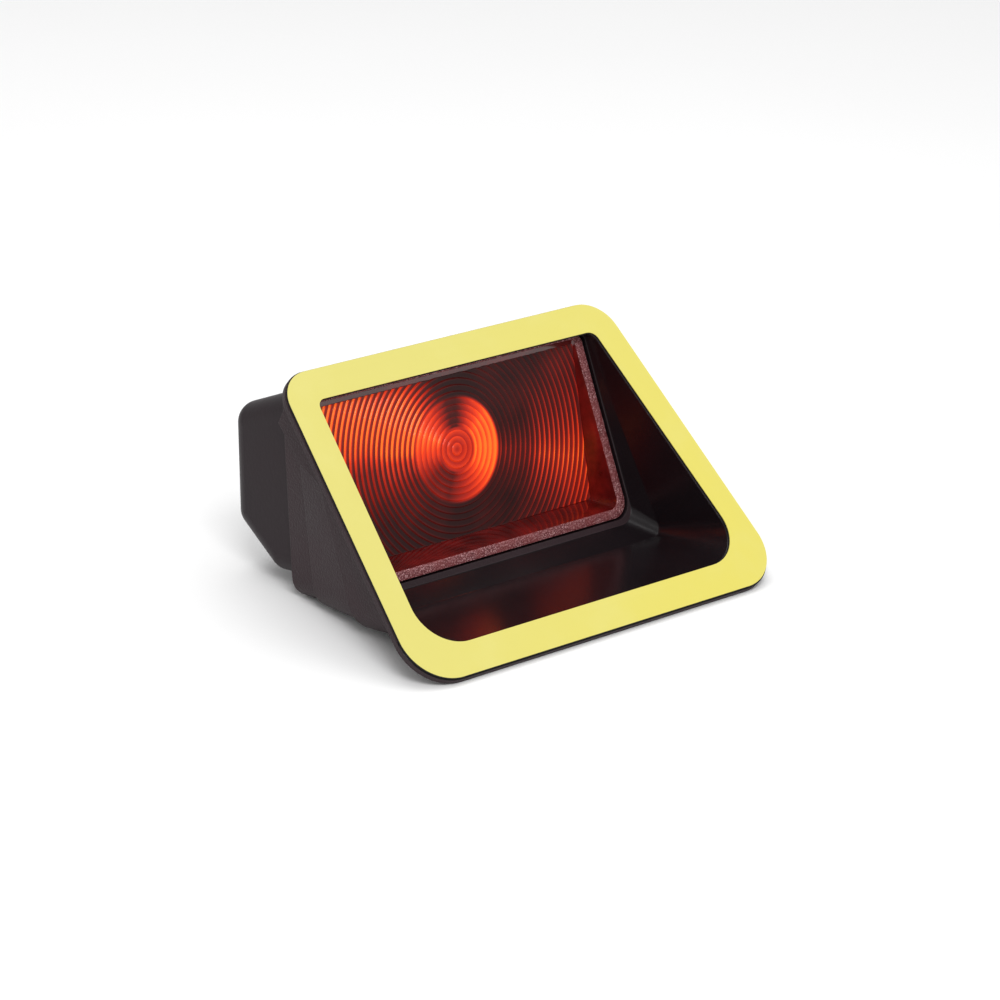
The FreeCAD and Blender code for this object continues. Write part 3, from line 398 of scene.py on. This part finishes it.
def make_tray(wall, rim):
    """Tray walls and rim as strips between matched loops; both edges of the rim are rounded over."""
    inner_low, inner_high = LENS_LOW + RIM_WIDE, LENS_HIGH - TOP_RIM_WIDE
    inner_half_low, inner_half_high = LENS_HALF_LOW - RIM_WIDE, LENS_HALF_HIGH - RIM_WIDE
    rim_round, shoulder_inset, shoulder_drop = 0.35, 0.12, 0.1

    def sloped(loop, proud):
        return [(x, y, rim_front(y) + proud) for x, y in loop]

    def flat(loop, front):
        return [(x, y, front) for x, y in loop]

    def outer(inset):
        return rounded_loop(LENS_LOW + inset, LENS_HIGH - inset,
                            LENS_HALF_LOW - inset, LENS_HALF_HIGH - inset,
                            OUTER_ROUND_LOW - inset, OUTER_ROUND_HIGH - inset)

    def inner(inset):
        return rounded_loop(inner_low - inset, inner_high + inset,
                            inner_half_low + inset, inner_half_high + inset,
                            INNER_ROUND_LOW + inset, INNER_ROUND_HIGH + inset)

    rounding = [(0, -rim_round), (shoulder_inset, -shoulder_drop), (rim_round, 0)]
    face = rounded_loop(FACE_LOW, FACE_HIGH, FACE_HALF, FACE_HALF, FACE_ROUND_LOW, FACE_ROUND_HIGH)
    loops = [flat(outer(0), LENS_BACK)]
    loops += [sloped(outer(inset), proud) for inset, proud in rounding]
    loops += [sloped(inner(inset), proud) for inset, proud in reversed(rounding)]
    loops.append(flat(face, 0.0))
    rim_strips = range(1, len(loops) - 2)
    made = bmesh.new()
    rings = [[made.verts.new(lamp(*point)) for point in loop] for loop in loops]
    count = len(rings[0])
    for strip, (first, second) in enumerate(zip(rings, rings[1:])):
        for index in range(count):
            after = (index + 1) % count
            quad = made.faces.new((first[index], first[after], second[after], second[index]))
            quad.material_index = 1 if strip in rim_strips else 0
            quad.smooth = True
    made.faces.new(rings[0][::-1])
    made.faces.new(rings[-1])
    return new_piece("lens_tray", made, [wall, rim], "housing")


def edge_reach(side, rise):
    """Distance from the ring centre to the border of the ring face in a direction."""
    tiny = 1e-9
    limits = [(FACE_HALF - BORDER_GAP) / max(abs(side), tiny)]
    if rise > tiny:
        limits.append((FACE_HIGH - BORDER_GAP) / rise)
    if rise < -tiny:
        limits.append((FACE_LOW + BORDER_GAP) / rise)
    return min(limits)


def face_angles():
    """Even directions all round, and one through each corner of the ring face."""
    steps = 360
    even = [2 * math.pi * step / steps for step in range(steps)]
    corners = [math.atan2(up, across) % (2 * math.pi) for across in (-FACE_HALF, FACE_HALF)
               for up in (FACE_LOW, FACE_HIGH)]
    return sorted(even + corners)


def ring_height(radius):
    """Saw-tooth profile of the rings: a long rise to the crest and a short fall behind it."""
    phase = (radius / RING_PITCH) % 1.0
    return RING_HEIGHT * (phase / RING_CREST if phase < RING_CREST else (1.0 - phase) / (1.0 - RING_CREST))


def make_rings(material):
    """Closed plate with concentric saw-tooth rings, cut off at the border of the ring face."""
    radii = [0.0]
    for ring in range(int(math.hypot(FACE_HALF, FACE_LOW) / RING_PITCH) + 1):
        radii += [(ring + RING_CREST) * RING_PITCH, (ring + 1) * RING_PITCH]
    made = bmesh.new()
    spokes = []
    for angle in face_angles():
        side, rise = math.cos(angle), math.sin(angle)
        reach = edge_reach(side, rise)
        clipped = [min(radius, reach) for radius in radii]
        points = [(radius, RING_FLOOR + ring_height(radius)) for radius in clipped]
        points.append((reach, -RING_FLOOR))
        spokes.append([made.verts.new(lamp(radius * side, radius * rise, front)) for radius, front in points])
    for spoke, after in zip(spokes, spokes[1:] + spokes[:1]):
        for index in range(len(spoke) - 1):
            made.faces.new((spoke[index], spoke[index + 1], after[index + 1], after[index])).smooth = True
    made.faces.new([spoke[-1] for spoke in reversed(spokes)])
    bmesh.ops.remove_doubles(made, verts=made.verts, dist=1e-7)
    return new_piece("lens_rings", made, [material], "housing")


# ---- set and camera ----

def make_floor():
    mesh = bpy.data.meshes.new("floor")
    half = 4.0
    corners = [(-half, -half, 0), (half, -half, 0), (half, half, 0), (-half, half, 0)]
    mesh.from_pydata(corners, [], [(0, 1, 2, 3)])
    floor = bpy.data.objects.new("floor", mesh)
    bpy.context.scene.collection.objects.link(floor)
    material, tree, shader = new_material("pale_floor")
    soft = noise(tree, object_point(tree), 3.0, 2.0)
    pale = ramp(tree, soft, [(0.3, (0.94, 0.94, 0.94)), (0.7, (0.96, 0.96, 0.96))])
    join(tree, pale, shader.inputs["Base Color"])
    shader.inputs["Roughness"].default_value = 0.9
    mesh.materials.append(material)


def area_light(name, place, target, wide, power):
    data = bpy.data.lights.new(name, "AREA")
    data.size = wide
    data.energy = power
    light = bpy.data.objects.new(name, data)
    light.location = place
    light.rotation_euler = (Vector(target) - Vector(place)).to_track_quat("-Z", "Y").to_euler()
    bpy.context.scene.collection.objects.link(light)


def make_light():
    world = bpy.data.worlds.new("studio")
    world.use_nodes = True
    background = world.node_tree.nodes["Background"]
    background.inputs["Color"].default_value = (1, 1, 1, 1)
    background.inputs["Strength"].default_value = 0.62
    bpy.context.scene.world = world
    target = (0, 0, 0.03)
    area_light("key", (-0.5, -0.7, 0.9), target, 0.5, 7)
    area_light("fill", (0.9, -0.5, 0.6), target, 1.2, 1.0)
    area_light("top", (0.1, 0.3, 1.1), target, 0.8, 4)


def make_camera():
    """Long lens, from the front left and above, rolled by about two degrees."""
    data = bpy.data.cameras.new("camera")
    data.lens = 140.7
    data.sensor_width = 36.0
    bearing, height, roll = math.radians(42.2), math.radians(20.9), math.radians(2.2)
    away = math.cos(height)
    forward = Vector((math.sin(bearing) * away, math.cos(bearing) * away, -math.sin(height)))
    aim = lamp(-28.83, -4.48, 50.26)
    distance = 1.0
    camera = bpy.data.objects.new("camera", data)
    camera.location = aim - forward * distance
    level = forward.to_track_quat("-Z", "Y")
    camera.rotation_mode = "QUATERNION"
    camera.rotation_quaternion = level @ Quaternion((0, 0, 1), roll)
    bpy.context.scene.collection.objects.link(camera)
    bpy.context.scene.camera = camera
    bpy.context.scene.view_settings.view_transform = "Standard"


# ---- build ----

grained = plastic("grained_black", (0.026, 0.0155, 0.018), rough=0.5, grain_size=0.6, grain_height=0.6,
                  shine=0.17, edge_round=0.4)
polished = plastic("polished_black", (0.006, 0.004, 0.005), rough=0.22, grain_size=3.0, grain_height=0.03,
                   shine=0.28, edge_round=0.5)
satin = plastic("satin_black", (0.015, 0.0095, 0.0115), rough=0.45, grain_size=1.2, grain_height=0.1,
                shine=0.14)
rubber = plastic("black_rubber", (0.012, 0.012, 0.012), rough=0.75, grain_size=0.4, grain_height=0.2)
foam = plastic("black_foam", (0.01, 0.01, 0.01), rough=0.9, grain_size=0.3, grain_height=0.3)
grey = plastic("grey_holder", (0.09, 0.09, 0.092), rough=0.5, grain_size=0.8, grain_height=0.1)
steel = bright_metal("zinc_steel", (0.72, 0.72, 0.7), 0.3)
brass = bright_metal("tinned_brass", (0.82, 0.72, 0.5), 0.3)
mirror = bright_metal("metallised", (0.9, 0.9, 0.9), 0.08)
membrane = bright_metal("membrane", (0.8, 0.8, 0.8), 0.6)

coats = [
    (satin, ["rear_cover"]),
    (foam, ["adhesive_tape"]),
    (film_material(), ["release_film"]),
    (rubber, ["lens_seal", "housing_seal", "holder_seal", "vent_plug"]),
    (grey, ["bulb_holder"]),
    (steel, ["reflector_screws", "cover_screws", "bulb_filament", "bulb_lead_wires"]),
    (brass, ["contact_live", "contact_earth"]),
    (mirror, ["reflector"]),
    (clear_glass(), ["bulb_glass"]),
    (membrane, ["vent_membrane"]),
]
for coat, node_names in coats:
    for node_name in node_names:
        paint(node_name, coat)
paint_hood(grained, polished)

tray = make_tray(wall_material(), rim_material())
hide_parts("lens")
make_rings(ring_material())

make_floor()
make_light()
make_camera()
